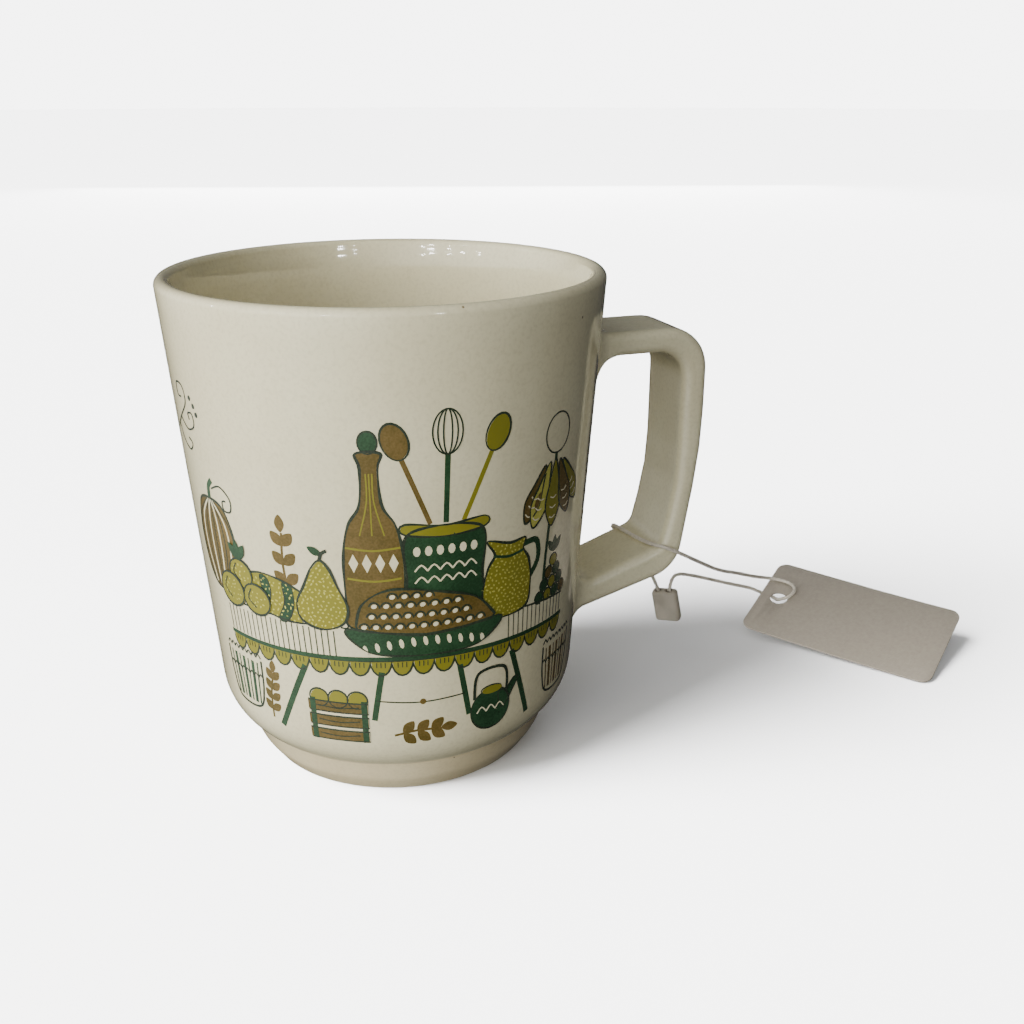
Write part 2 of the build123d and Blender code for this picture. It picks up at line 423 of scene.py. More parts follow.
class Artist:
    """Draws the motifs with six inks, each motif placed along the wall."""

    def __init__(self):
        self.inks = {name: Sheet() for name in ("green", "olive", "brown", "line", "pale", "cream")}
        self.dice = random.Random(11)
        self.shift = self.depth = 0.0

    def move(self, outline):
        return [(x + self.shift, y) for x, y in outline]

    def blob(self, ink, outline, layer=OVER):
        """A filled shape with no line round it, as far out of register as its screen."""
        dx, dy = MISPRINT.get(ink, (0.0, 0.0))
        self.inks[ink].fill([(x + dx, y + dy) for x, y in self.move(outline)], layer + self.depth)

    def pen(self, line, widths, layer=LINE, closed=False, ink="line"):
        """A ribbon of given widths along a line."""
        self.inks[ink].ribbon(self.move(line), widths, layer + self.depth, closed)

    def patch(self, ink, outline, layer=FILL, edge=0.42):
        """A filled shape with a dark outline round it."""
        self.blob(ink, outline, layer)
        if edge:
            self.pen(outline, [edge * (0.8 + 0.25 * math.sin(0.37 * i)) for i in range(len(outline))],
                     closed=True)

    def stroke(self, knots, width=0.38, ink="line", layer=LINE, smooth_it=True):
        """A pen line of even width through knots."""
        line = curve_through(knots) if smooth_it else knots
        self.pen(line, [width] * len(line), layer, ink=ink)

    def dots(self, ink, outline, spacing, size, layer=OVER):
        """A loose stipple of small dots inside an outline."""
        xs, ys = [p[0] for p in outline], [p[1] for p in outline]
        y, row = min(ys), 0
        while y < max(ys):
            x = min(xs) + (row % 2) * spacing / 2
            while x < max(xs):
                px = x + self.dice.uniform(-0.25, 0.25) * spacing
                py = y + self.dice.uniform(-0.25, 0.25) * spacing
                if inside((px, py), outline) and inside((px + size, py + size), outline):
                    tilt = self.dice.uniform(0, 180)
                    shape = oval(px, py, size * self.dice.uniform(0.6, 1.3), size * 0.6, tilt, 6)
                    self.blob(ink, shape, layer)
                x += spacing
            y += spacing * 0.8
            row += 1

    def leaf(self, ink, x, y, angle, length, width):
        """A pointed leaf from its stalk end."""
        c, s = math.cos(math.radians(angle)), math.sin(math.radians(angle))
        knots = [(0, 0), (0.3, 0.42), (0.62, 0.46), (1.0, 0.0), (0.62, -0.46), (0.3, -0.42)]
        knots = [(x + (a * length) * c - (b * width) * s, y + (a * length) * s + (b * width) * c)
                 for a, b in knots]
        self.patch(ink, curve_through(knots, closed=True), edge=0)

    def sprig(self, ink, x, y, angle, length, pairs, leaf=3.2):
        """A stem with leaves in pairs and one at its tip."""
        c, s = math.cos(math.radians(angle)), math.sin(math.radians(angle))
        stem = [(x, y), (x + length * 0.5 * c - 0.5 * s, y + length * 0.5 * s + 0.5 * c),
                (x + length * c, y + length * s)]
        self.stroke(stem, 0.45, ink=ink, layer=OVER)
        for i in range(pairs):
            part = (i + 0.7) / (pairs + 0.4)
            px, py = x + length * part * c, y + length * part * s
            for side in (-1, 1):
                self.leaf(ink, px, py, angle + side * (48 - 4 * i), leaf, leaf * 0.66)
        self.leaf(ink, x + length * c, y + length * s, angle, leaf, leaf * 0.6)

    # ---- motifs
    def table(self):
        """A cloth-covered table: stripes, a scalloped olive hem and splayed legs."""
        left, right, top, hem = -35.5, 36.5, 38.2, 31.6
        for x0, y0, x1, y1, w in ((-17.5, 29.6, -24.4, 15.6, 1.2), (-3.2, 29.4, -5.0, 19.6, 1.1),
                                  (11.0, 29.4, 13.0, 18.8, 1.1), (22.0, 29.4, 27.0, 14.6, 1.2)):
            line = resample([Vector((x0, y0)), Vector((x1, y1))], 10)
            self.stroke([tuple(p) for p in line], w, ink="green", layer=FILL, smooth_it=False)
        x = left
        while x < right:
            if not -10.5 < x < 20.5:
                drop = 0.7 * math.sin(x * 0.21)
                self.stroke([(x, top - 0.8 + drop * 0.4), (x + 0.15, hem + 0.7)], 0.2)
            x += 1.15
        count = 19
        step = (right - left) / count
        for i in range(count):
            x = left + i * step
            arc = [(x + step * (0.5 - 0.5 * math.cos(math.pi * k / 8)),
                    hem - 2.9 * math.sin(math.pi * k / 8)) for k in range(9)]
            self.patch("olive", arc, edge=0.34)
            for part in (0.3, 0.5, 0.7):
                self.stroke([(x + step * part, hem - 0.3), (x + step * part, hem - 1.3)], 0.16)
        self.stroke([(left - 0.4, hem + 0.15), (0.0, hem + 0.45), (right + 0.4, hem + 0.15)], 0.75,
                    ink="green", layer=LINE)
        self.stroke([(-4.4, 23.6), (3.6, 23.0), (12.0, 23.4)], 0.26)
        self.blob("brown", oval(4.2, 23.0, 0.6, 0.6, 0, 10), TOP)
        self.stroke([(left, top + 0.4), (-22.0, top + 0.2), (-10.5, top - 0.3)], 0.36)
        self.stroke([(20.0, top - 0.4), (28.0, top - 1.3), (right, top - 2.2)], 0.36)

    def bottle(self, x, foot):
        """A tall brown oil bottle with a stopper and a band of cream lozenges."""
        half = [(-1.9, 31.4), (-1.4, 28.8), (-1.8, 22.6), (-3.8, 19.0), (-4.9, 13.6), (-5.0, 6.0),
                (-4.5, 0.2)]
        knots = [(x + dx, foot + dy) for dx, dy in half] + [(x - dx, foot + dy) for dx, dy in half[::-1]]
        self.patch("brown", curve_through(knots, closed=True), edge=0.5)
        self.patch("green", oval(x, foot + 33.2, 1.5, 1.9), edge=0.34)
        for k in range(4):
            middle = (x - 3.3 + 2.2 * k, foot + 12.2)
            self.blob("cream", [(middle[0] - 0.8, middle[1]), (middle[0], middle[1] - 1.7),
                                (middle[0] + 0.8, middle[1]), (middle[0], middle[1] + 1.7)])
        for rise in (9.4, 15.0):
            self.stroke([(x - 4.5, foot + rise), (x, foot + rise - 0.5), (x + 4.5, foot + rise)], 0.36,
                        ink="olive", layer=OVER)
        for k in (-1, 0, 1):
            self.stroke([(x + 0.5 * k, foot + 28.0), (x + 0.6 * k, foot + 23.0), (x + 2.0 * k, foot + 17.2)],
                        0.24, ink="olive", layer=OVER)

    def spoon_crock(self, x, foot):
        """An open crock banded in cream, holding two wooden spoons and a whisk."""
        for dx, lean, ink in ((-2.6, -4.6, "brown"), (3.0, 5.0, "olive")):
            tip = (x + dx + lean, foot + 30.8)
            self.stroke([(x + dx, foot + 18.8), (x + dx + lean * 0.4, foot + 23.6), tip], 0.8, ink=ink,
                        layer=FILL)
            self.patch(ink, oval(tip[0] + lean * 0.16, tip[1] + 2.4, 2.1, 3.2, -4.0 * lean), layer=OVER,
                       edge=0.4)
        self.stroke([(x, foot + 18.8), (x + 0.3, foot + 30.6)], 0.9, ink="green", layer=FILL)
        for width in (0.7, 1.6, 2.4):
            self.pen(oval(x + 0.3, foot + 34.4, width, 3.8, 0, 26), [0.26] * 26, closed=True)
        wall = curve_through([(x - 6.0, foot + 17.4), (x - 6.6, foot + 9.0), (x - 6.2, foot + 0.6),
                              (x + 6.2, foot + 0.6), (x + 6.6, foot + 9.0), (x + 6.0, foot + 17.4)],
                             closed=True)
        self.patch("green", wall, edge=0.5)
        brim = curve_through([(x - 6.9, foot + 17.2), (x, foot + 16.4), (x + 6.9, foot + 17.2),
                              (x + 6.8, foot + 19.0), (x, foot + 18.4), (x - 6.8, foot + 19.0)], closed=True)
        self.patch("olive", brim, layer=OVER, edge=0.4)
        for k in range(6):
            self.blob("cream", oval(x - 4.9 + 1.96 * k, foot + 14.0, 0.62, 0.9, 0, 10))
        for row in (8.2, 10.4):
            for k in range(5):
                self.stroke([(x - 5.3 + 2.15 * k, foot + row), (x - 4.2 + 2.15 * k, foot + row + 1.1),
                             (x - 3.15 + 2.15 * k, foot + row)], 0.3, ink="cream", layer=TOP)

    def pitcher(self, x, foot):
        """A low stippled pitcher with its lip to one side and its handle to the other."""
        body = curve_through([(x - 4.0, foot), (x - 5.3, foot + 4.6), (x - 4.4, foot + 9.4),
                              (x - 3.1, foot + 11.8), (x - 4.6, foot + 14.6), (x, foot + 13.4),
                              (x + 3.4, foot + 13.6), (x + 3.0, foot + 11.6), (x + 4.5, foot + 9.2),
                              (x + 5.2, foot + 4.6), (x + 4.0, foot)], closed=True)
        self.stroke([(x + 3.2, foot + 12.4), (x + 6.2, foot + 12.2), (x + 6.9, foot + 8.6),
                     (x + 5.0, foot + 5.6)], 1.1, ink="green", layer=FILL)
        self.patch("olive", body, edge=0.5)
        self.dots("pale", body, 0.95, 0.26)
        self.stroke([(x - 3.3, foot + 11.6), (x, foot + 10.9), (x + 3.2, foot + 11.4)], 0.5, ink="green")

    def pear(self, x, y, tall, lean):
        """A fat pear or gourd with a stipple, standing on the table and leaning."""
        half = tall * 0.27
        knots = [(0.0, 0.0), (-half, tall * 0.10), (-half * 1.22, tall * 0.32), (-half * 0.80, tall * 0.58),
                 (-half * 0.42, tall * 0.82), (0.0, tall * 0.93), (half * 0.42, tall * 0.82),
                 (half * 0.80, tall * 0.58), (half * 1.22, tall * 0.32), (half, tall * 0.10)]
        knots = [(x + a + lean * b, y + b) for a, b in knots]
        shape = curve_through(knots, closed=True)
        self.patch("olive", shape, edge=0.5)
        self.dots("pale", shape, 0.95, 0.26)
        tip = (x + lean * tall * 0.93, y + tall * 0.93)
        self.stroke([tip, (tip[0] + 0.4, tip[1] + tall * 0.09), (tip[0] + 1.3, tip[1] + tall * 0.13)], 0.6)
        self.leaf("green", tip[0] + 0.4, tip[1] + tall * 0.06, 150 if lean > 0 else 30, tall * 0.2,
                  tall * 0.10)

    def nut_bowl(self):
        """A wide brown bowl heaped with shingled nuts, in front of the crockery."""
        heap = curve_through([(-7.2, 38.6), (-5.8, 42.8), (-1.0, 45.4), (6.4, 44.6), (13.6, 42.4),
                              (17.6, 38.2)], closed=False)
        base = heap + [(17.0, 37.4), (5.0, 36.6), (-6.8, 37.6)]
        self.patch("brown", base, edge=0.5)
        rows = ((37.9, -5.8, 15.8), (39.9, -5.0, 13.8), (41.9, -3.9, 10.6), (43.6, -1.4, 6.2))
        for r, (y, x0, x1) in enumerate(rows):
            x = x0 + (r % 2) * 0.6
            while x < x1:
                arc = [(x + 0.95 * math.cos(math.pi * (0.02 + k / 8)),
                        y + 1.15 * math.sin(math.pi * (0.02 + k / 8))) for k in range(8)]
                self.blob("cream", oval(x, y + 0.42, 0.52, 0.42, 20, 8))
                self.pen(arc, [0.3] * 8, TOP)
                x += 2.05
        bowl = curve_through([(-8.6, 37.9), (5.0, 36.4), (18.6, 37.6), (16.2, 34.0), (11.0, 32.6),
                              (-1.6, 32.8), (-6.4, 34.2)], closed=True)
        self.patch("green", bowl, edge=0.4)
        for k in range(11):
            x = -5.8 + 2.1 * k
            self.blob("cream", oval(x, 35.3 - 0.012 * (x - 5) ** 2, 0.42, 0.95, 12, 8))

    def crate(self, x):
        """A slatted crate of round fruit, under the table."""
        for dx in (-3.6, 0.1, 3.8):
            self.patch("olive", oval(x + dx, 23.6, 1.9, 1.8, 0, 18), edge=0.34)
        self.depth += 0.02
        for row in range(3):
            low = 15.0 + 2.9 * row
            self.patch("brown", [(x - 5.8, low), (x + 5.8, low), (x + 5.8, low + 2.1), (x - 5.8, low + 2.1)],
                       edge=0.3)
            self.stroke([(x - 4.0, low + 1.2), (x, low + 0.9), (x + 4.0, low + 1.3)], 0.2)
        for dx in (-5.0, 5.0):
            self.stroke([(x + dx, 14.8), (x + dx, 23.4)], 1.1, ink="green", layer=OVER)
        self.depth -= 0.02

    def kettle(self, x):
        """A squat green kettle with a hoop handle, under the table."""
        self.patch("green", curve_through([(x + 2.6, 18.2), (x + 5.2, 21.4), (x + 6.3, 23.4), (x + 5.2, 23.6),
                                           (x + 3.6, 22.0), (x + 1.6, 21.6)], closed=True), edge=0.34)
        self.patch("green", oval(x, 18.8, 4.3, 4.2, 0, 30), layer=OVER, edge=0.4)
        self.patch("olive", oval(x, 22.8, 2.2, 0.8, 0, 18), layer=TOP, edge=0.3)
        self.stroke([(x - 3.6, 21.4), (x - 2.8, 26.6), (x + 2.8, 26.6), (x + 3.6, 21.4)], 0.6)
        for k in range(3):
            self.stroke([(x - 3.0 + 2.0 * k, 18.4), (x - 2.0 + 2.0 * k, 19.5), (x - 1.0 + 2.0 * k, 18.4)],
                        0.26, ink="cream", layer=TOP)

    def pumpkin(self, x, y):
        """A tall ribbed gourd with a curling tendril."""
        shape = curve_through([(x, y + 8.6), (x - 4.0, y + 7.4), (x - 6.0, y + 2.0), (x - 5.6, y - 4.4),
                               (x - 2.6, y - 8.4), (x + 2.6, y - 8.4), (x + 5.6, y - 4.4), (x + 6.0, y + 2.0),
                               (x + 4.0, y + 7.4)], closed=True)
        self.patch("brown", shape, edge=0.5)
        for k in range(-4, 5):
            self.stroke([(x + 0.25 * k, y + 8.3), (x + 1.25 * k, y + 4.4), (x + 1.42 * k, y - 1.5),
                         (x + 0.8 * k, y - 8.0)], 0.42 if k % 2 else 0.24, ink="cream" if k % 2 else "line",
                        layer=OVER if k % 2 else LINE)
        self.stroke([(x, y + 8.4), (x + 0.3, y + 10.8), (x + 1.6, y + 12.2)], 1.0, ink="green")
        curl = [(x + 1.2, y + 10.6), (x + 4.0, y + 11.6), (x + 6.4, y + 9.9), (x + 6.2, y + 7.6),
                (x + 4.4, y + 7.4), (x + 4.2, y + 9.0), (x + 5.2, y + 9.2)]
        self.stroke(curl, 0.34)

    def marrow(self, x, y, tilt):
        """A long banded marrow lying on the cloth."""
        c, s = math.cos(math.radians(tilt)), math.sin(math.radians(tilt))

        def turned(points):
            return [(x + a * c - b * s, y + a * s + b * c) for a, b in points]

        body = curve_through(turned([(-9.0, 0.6), (-5.5, 3.4), (0.0, 3.9), (5.6, 2.4), (9.2, 0.0),
                                     (5.6, -2.4), (0.0, -3.5), (-5.5, -2.9)]), closed=True)
        self.patch("olive", body, edge=0.45)
        self.dots("pale", body, 1.1, 0.26)
        for a, half in ((-4.2, 3.1), (0.6, 3.6), (5.2, 2.4)):
            band = curve_through(turned([(a - 0.8, half), (a, 0.0), (a - 0.8, -half), (a + 1.0, -half * 0.96),
                                         (a + 1.9, 0.0), (a + 1.0, half * 0.96)]), closed=True)
            self.patch("green" if a < 0.7 else "cream", band, layer=OVER, edge=0.26)
        self.stroke(turned([(9.0, 0.0), (10.6, 0.5), (11.8, 1.8)]), 0.7)
        self.stroke(turned([(10.6, 0.5), (12.2, 0.2), (12.6, -1.0), (11.4, -1.2)]), 0.3)

    def turnips(self, x, y):
        """Three round roots with leaf tops, heaped on the cloth."""
        for dx, dy, r in ((3.2, 3.8, 3.0), (6.6, -0.3, 3.2), (0.0, 0.0, 3.5)):
            shape = oval(x + dx, y + dy, r, r * 0.92, 0, 28)
            self.depth += 0.03
            self.patch("olive", shape, edge=0.45)
            self.dots("pale", oval(x + dx, y + dy, r * 0.85, r * 0.7, 0, 16), 1.1, 0.24)
            self.stroke([(x + dx - 0.2, y + dy - 0.5 * r), (x + dx - r * 0.6, y + dy - 0.1),
                         (x + dx - r * 0.3, y + dy + r * 0.6)], 0.28)
        for angle in (60, 95, 130):
            self.leaf("green", x + 3.2, y + 6.4, angle, 3.6, 1.7)

    def stripe_basket(self, x, y, ink, tall=10.0):
        """A round-bottomed basket with upright canes and a plaited rim."""
        half = 5.4
        shape = curve_through([(x - half, y + tall), (x - half * 0.94, y + tall * 0.4), (x - half * 0.6, y),
                               (x + half * 0.6, y), (x + half * 0.94, y + tall * 0.4), (x + half, y + tall)])
        self.stroke(shape, 0.45, smooth_it=False)
        for k in range(7):
            dx = -4.2 + 1.4 * k
            self.stroke([(x + dx, y + tall - 0.6), (x + dx * 0.86, y + 0.6)], 0.85 if k % 2 else 0.4,
                        ink=ink, layer=FILL)
        for row in range(2):
            for k in range(8):
                self.stroke([(x - half + 1.35 * k, y + tall + 0.5 - row * 4.2),
                             (x - half + 0.7 + 1.35 * k, y + tall + 1.3 - row * 4.2),
                             (x - half + 1.35 * (k + 1), y + tall + 0.5 - row * 4.2)], 0.34)

    def hanging_rack(self, x):
        """A ring on a thin pole with a fan of drop-shaped bundles under it."""
        self.pen(oval(x + 0.6, 68.2, 3.3, 3.6, 0, 30), [0.3] * 30, closed=True)
        self.stroke([(x + 0.4, 64.6), (x + 0.1, 56.0), (x - 0.6, 46.0), (x - 0.9, 36.8)], 0.75, ink="green")
        bundles = ((-4.6, 246, "brown", 10.6), (5.4, 303, "olive", 10.6), (-2.2, 252, "pale", 11.8),
                   (3.2, 288, "brown", 11.4), (0.5, 270, "olive", 12.4))
        for dx, angle, ink, length in bundles:
            c, s = math.cos(math.radians(angle)), math.sin(math.radians(angle))
            x0, y0 = x + dx * 0.5, 63.6 - abs(dx) * 0.12
            knots = [(0.0, 0.0), (0.35, 0.11), (0.70, 0.17), (1.0, 0.0), (0.70, -0.17), (0.35, -0.11)]
            knots = [(x0 + a * length * c - b * length * s, y0 + a * length * s + b * length * c)
                     for a, b in knots]
            self.depth += 0.02
            self.patch(ink, curve_through(knots, closed=True), edge=0.4)
            for part in (0.55, 0.7, 0.85):
                px, py = x0 + part * length * c, y0 + part * length * s
                self.stroke([(px - 0.9 * s * 0.9, py + 0.9 * c * 0.9), (px + 0.35 * c, py + 0.35 * s),
                             (px + 0.9 * s * 0.9, py - 0.9 * c * 0.9)], 0.24, ink="cream", layer=TOP)
        self.depth = 0.0

    def grapes(self, x, y):
        """A heap of round berries with a leafy crown."""
        row_y, count, k = y, 4, 0
        while count > 0:
            for i in range(count):
                px = x + (i - (count - 1) / 2) * 2.5
                ink = ("green", "olive", "green", "brown")[k % 4]
                self.patch(ink, oval(px, row_y, 1.2, 1.2, 0, 14), edge=0.3)
                k += 1
            row_y += 2.15
            count -= 1
        for angle in (50, 90, 130):
            self.leaf("green", x, row_y - 0.6, angle, 3.2, 1.5)

    def scroll(self, x, y):
        """Loose pen scrolls ending in three dots."""
        self.stroke([(x - 5.0, y - 4.0), (x - 1.0, y - 1.0), (x + 2.6, y + 2.2), (x + 2.2, y + 5.0),
                     (x - 0.4, y + 5.2), (x - 0.6, y + 3.0), (x + 1.0, y + 2.9)], 0.34)
        self.stroke([(x - 1.0, y - 1.0), (x + 1.8, y - 2.6), (x + 4.6, y - 1.6), (x + 4.6, y + 0.6),
                     (x + 2.9, y + 0.4), (x + 3.2, y - 0.7)], 0.34)
        self.stroke([(x - 3.0, y - 2.6), (x - 1.2, y - 5.4), (x + 1.4, y - 6.4), (x + 2.8, y - 5.0),
                     (x + 1.4, y - 4.2)], 0.34)
        for dx, dy in ((4.6, 3.4), (5.6, 2.2), (6.2, 0.8)):
            self.blob("line", oval(x + dx, y + dy, 0.5, 0.5, 0, 10))

    def frieze(self, shift):
        """One run of the frieze, about 95 mm long."""
        self.shift = shift
        self.table()
        self.bottle(-3.6, 38.0)
        self.spoon_crock(8.4, 38.0)
        self.scroll(-42.4, 71.0)
        self.crate(-11.8)
        self.sprig("brown", -1.4, 16.4, 4, 9.0, 3)
        self.sprig("brown", -19.0, 42.5, 91, 12.0, 3)
        self.pumpkin(-36.4, 48.4)
        self.stripe_basket(-33.6, 17.6, "green")
        self.sprig("brown", -26.6, 16.6, 82, 9.6, 4, leaf=2.6)
        self.hanging_rack(30.2)
        self.grapes(32.2, 37.6)
        self.stripe_basket(36.6, 16.4, "brown")
        self.depth = IN_FRONT
        self.pitcher(20.4, 37.4)
        self.kettle(17.6)
        self.marrow(-20.8, 41.6, -12)
        self.depth = 2 * IN_FRONT
        self.pear(-13.2, 37.4, 14.0, 0.04)
        self.turnips(-33.2, 40.8)
        self.nut_bowl()
        self.depth = 0.0


def wrapped(sheet, name, cut):
    """Turns flat ink shapes into a thin skin on the wall, cut finely enough to follow it."""
    mesh = bpy.data.meshes.new(name)
    mesh.from_pydata(sheet.points, [], sheet.faces)
    piece = bpy.data.objects.new(name, mesh)
    bpy.context.collection.objects.link(piece)
    only(piece)
    bpy.ops.object.mode_set(mode="EDIT")
    bpy.ops.mesh.select_all(action="SELECT")
    bpy.ops.mesh.normals_make_consistent(inside=False)
    if cut:
        low, high = min(p[0] for p in sheet.points), max(p[0] for p in sheet.points)
        x = math.ceil(low / PRINT_CUT) * PRINT_CUT
        while x < high:
            bpy.ops.mesh.select_all(action="SELECT")
            bpy.ops.mesh.bisect(plane_co=(x, 0, 0), plane_no=(1, 0, 0))
            x += PRINT_CUT
        for y in (p.y for p in WALL_LINE if SHOULDER_BAND[0] < p.y < SHOULDER_BAND[1]):
            bpy.ops.mesh.select_all(action="SELECT")
            bpy.ops.mesh.bisect(plane_co=(0, y, 0), plane_no=(0, 1, 0))
    bpy.ops.mesh.select_all(action="SELECT")
    bpy.ops.mesh.quads_convert_to_tris(ngon_method="CLIP")
    bpy.ops.object.mode_set(mode="OBJECT")
    for vertex in mesh.vertices:
        along, height, layer = vertex.co
        turn = math.radians(FRONT_DEG) + along / PRINT_R
        radius = wall_radius(height) + layer
        vertex.co = Vector((radius * math.cos(turn), radius * math.sin(turn), height)) * MM
    for face in mesh.polygons:
        if face.normal.x * face.center.x + face.normal.y * face.center.y < 0:
            face.flip()
    modify(piece, "SOLIDIFY", thickness=INK_THICK * MM, offset=-1.0)
    smooth(piece, 30.0)
    return piece


# ---------------------------------------------------------------- sizes and colours a user may change
class MugLooks(bpy.types.PropertyGroup):
    """Colours of the mug's glaze, inks and tag."""

    glaze_light: bpy.props.StringProperty(name="Glaze, thin", default="DCD6B5",
                                          description="sRGB hex colour where the glaze is thin")
    glaze_dark: bpy.props.StringProperty(name="Glaze, thick", default="D2CAA8",
                                         description="sRGB hex colour where the glaze pools")
    ink_green: bpy.props.StringProperty(name="Dark green ink", default="213A24",
                                        description="sRGB hex colour of the dark green ink")
    ink_olive: bpy.props.StringProperty(name="Olive ink", default="7F7A26",
                                        description="sRGB hex colour of the olive ink")
    ink_brown: bpy.props.StringProperty(name="Brown ink", default="54481F",
                                        description="sRGB hex colour of the brown ink")
    ink_line: bpy.props.StringProperty(name="Line ink", default="242D22",
                                       description="sRGB hex colour of the pen lines")
    ink_pale: bpy.props.StringProperty(name="Pale stipple", default="B9B65C",
                                       description="sRGB hex colour of the stipple on olive")
    card: bpy.props.StringProperty(name="Tag card", default="ABA395",
                                   description="sRGB hex colour of the tag's board")


class MugSizes(bpy.types.PropertyGroup):
    """Sizes of the visual pieces."""

    segments: bpy.props.IntProperty(name="Wall segments", default=224, min=32,
                                    description="Facets round the turned wall")
    strap_edge: bpy.props.FloatProperty(name="Strap edge", default=1.9 * MM, unit="LENGTH",
                                        description="Rounding of the handle's long edges")
    root_flare: bpy.props.FloatProperty(name="Root flare", default=1.6 * MM, unit="LENGTH",
                                        description="Radius of the slip fillet at the handle's roots")
    string_thick: bpy.props.FloatProperty(name="String thickness", default=0.85 * MM, unit="LENGTH",
                                          description="Diameter over both plies of the string")
    twist_pitch: bpy.props.FloatProperty(name="Twist pitch", default=2.6 * MM, unit="LENGTH",
                                         description="Length of one full turn of the string's plies")
    card_curl: bpy.props.FloatProperty(name="Card curl", default=0.35 * MM, unit="LENGTH",
                                       description="How far the tag card bows along its length")


# ---------------------------------------------------------------- operators
class MUG_OT_body(bpy.types.Operator):
    """Turns the cup's wall, lip, bowl and foot from one ring"""

    bl_idname = "mug.body"
    bl_label = "Turn the cup"

    def execute(self, context):
        sizes, looks = context.scene.mug_sizes, context.scene.mug_looks
        stations = wall_stations()
        calm()
        bpy.ops.mesh.primitive_circle_add(vertices=sizes.segments, radius=stations[0].x * MM)
        cup = start("glazed_cup")
        bpy.ops.mesh.select_mode(type="VERT")
        bpy.ops.mesh.select_all(action="SELECT")
        bpy.ops.transform.translate(value=(0, 0, stations[0].y * MM))
        for before, after in zip(stations, stations[1:]):
            rise = (after.y - before.y) * MM
            bpy.ops.mesh.extrude_region_move(TRANSFORM_OT_translate={"value": (0, 0, rise)})
            grow = after.x / before.x
            bpy.ops.transform.resize(value=(grow, grow, 1), center_override=(0, 0, after.y * MM))
        bpy.ops.mesh.merge(type="CENTER")
        calm()
        mesh = cup.data
        ring = [v.index for v in mesh.vertices if v.co.xy.length < 0.5 * MM and v.co.z < 4 * MM]
        only(cup)
        bpy.ops.object.mode_set(mode="EDIT")
        bpy.ops.mesh.select_all(action="DESELECT")
        bpy.ops.object.mode_set(mode="OBJECT")
        for index in ring:
            mesh.vertices[index].select = True
        bpy.ops.object.mode_set(mode="EDIT")
        bpy.ops.mesh.merge(type="CENTER")
        bpy.ops.mesh.select_all(action="SELECT")
        bpy.ops.mesh.normals_make_consistent(inside=False)
        calm()
        mesh.materials.append(fired_glaze("kiln_glaze_cup", looks.glaze_light, looks.glaze_dark, 0.11))
        mesh.materials.append(bare_clay("unglazed_earthenware"))
        # the foot's side band below the crease gets a darker, warmer glaze colour: painted shade where the
        # foot sits near the floor
        mesh.materials.append(fired_glaze("foot_band_glaze_painted_shade", "D8CCA8", "CDBE98", 0.3))
        for face in mesh.polygons:
            outside = face.center.xy.length > FOOT_IN * MM
            if face.center.z < 0.25 * MM and outside:
                face.material_index = 1
            # the foot's side band below the crease: takes the painted-shade glaze
            elif face.center.z < FOOT_TOP_Z * MM and outside and face.normal.z < 0.5:
                face.material_index = 2
        smooth(cup, 40.0)
        settle(cup, "mug", "body_glaze", "mug_body")
        return {"FINISHED"}


def strap_ladder():
    """Matching outer and inner points of the handle, root to root."""
    outer = rounded([(36.7, STRAP_TOP_Z), (GRIP_OUT_X, STRAP_TOP_Z), (GRIP_OUT_X, 54.0), (58.25, 28.1),
                     (32.5, 21.0)], [8.4, 100.0, 8.0])
    inner = rounded([(36.3, 65.1), (39.3, STRAP_UNDER_Z), (GRIP_IN_X, STRAP_UNDER_Z), (GRIP_IN_X, 47.0),
                     (54.0, 33.7), (36.6, 27.5), (33.6, 36.2)], [6.5, 5.4, 60.0, 2.8, 3.0])
    outer_runs = [outer[0], outer[1], outer[2] + outer[3] + outer[4], outer[5], outer[6]]
    inner_runs = [inner[0] + inner[1] + inner[2], inner[3], inner[4] + inner[5] + inner[6], inner[7],
                  inner[8] + inner[9] + inner[10]]
    pairs = []
    for one, two, count in zip(outer_runs, inner_runs, (52, 12, 34, 10, 44)):
        a, b = resample(one, count), resample(two, count)
        pairs += list(zip(a, b))[1 if pairs else 0:]
    return pairs


# spans round one rounded edge, across the strap's broad face and through its side
EDGE_STEPS, FACE_STEPS, SIDE_STEPS = 6, 14, 6
# how far out from the wall the roots swell, against how much they swell
FLARE_SPREAD = 1.9


def strap_section(half_wide, half_thick, edge):
    """Points round the strap's section and their outward ways, as (across, through) pairs."""
    spots = []
    for k, (sx, sy) in enumerate(((1, 1), (-1, 1), (-1, -1), (1, -1))):
        middle = Vector((sx * (half_wide - edge), sy * (half_thick - edge)))
        for i in range(EDGE_STEPS + 1):
            turn = math.pi / 2 * (k + i / EDGE_STEPS)
            way = Vector((math.cos(turn), math.sin(turn)))
            spots.append((middle + way * edge, way))
    ring = []
    for k in range(len(spots)):
        here, way = spots[k]
        after = spots[(k + 1) % len(spots)][0]
        ring.append((here, way))
        if k % (EDGE_STEPS + 1) == EDGE_STEPS:
            flat = FACE_STEPS if k // (EDGE_STEPS + 1) % 2 == 0 else SIDE_STEPS
            ring += [(here.lerp(after, i / flat), way) for i in range(1, flat)]
    return ring + ring[:1]


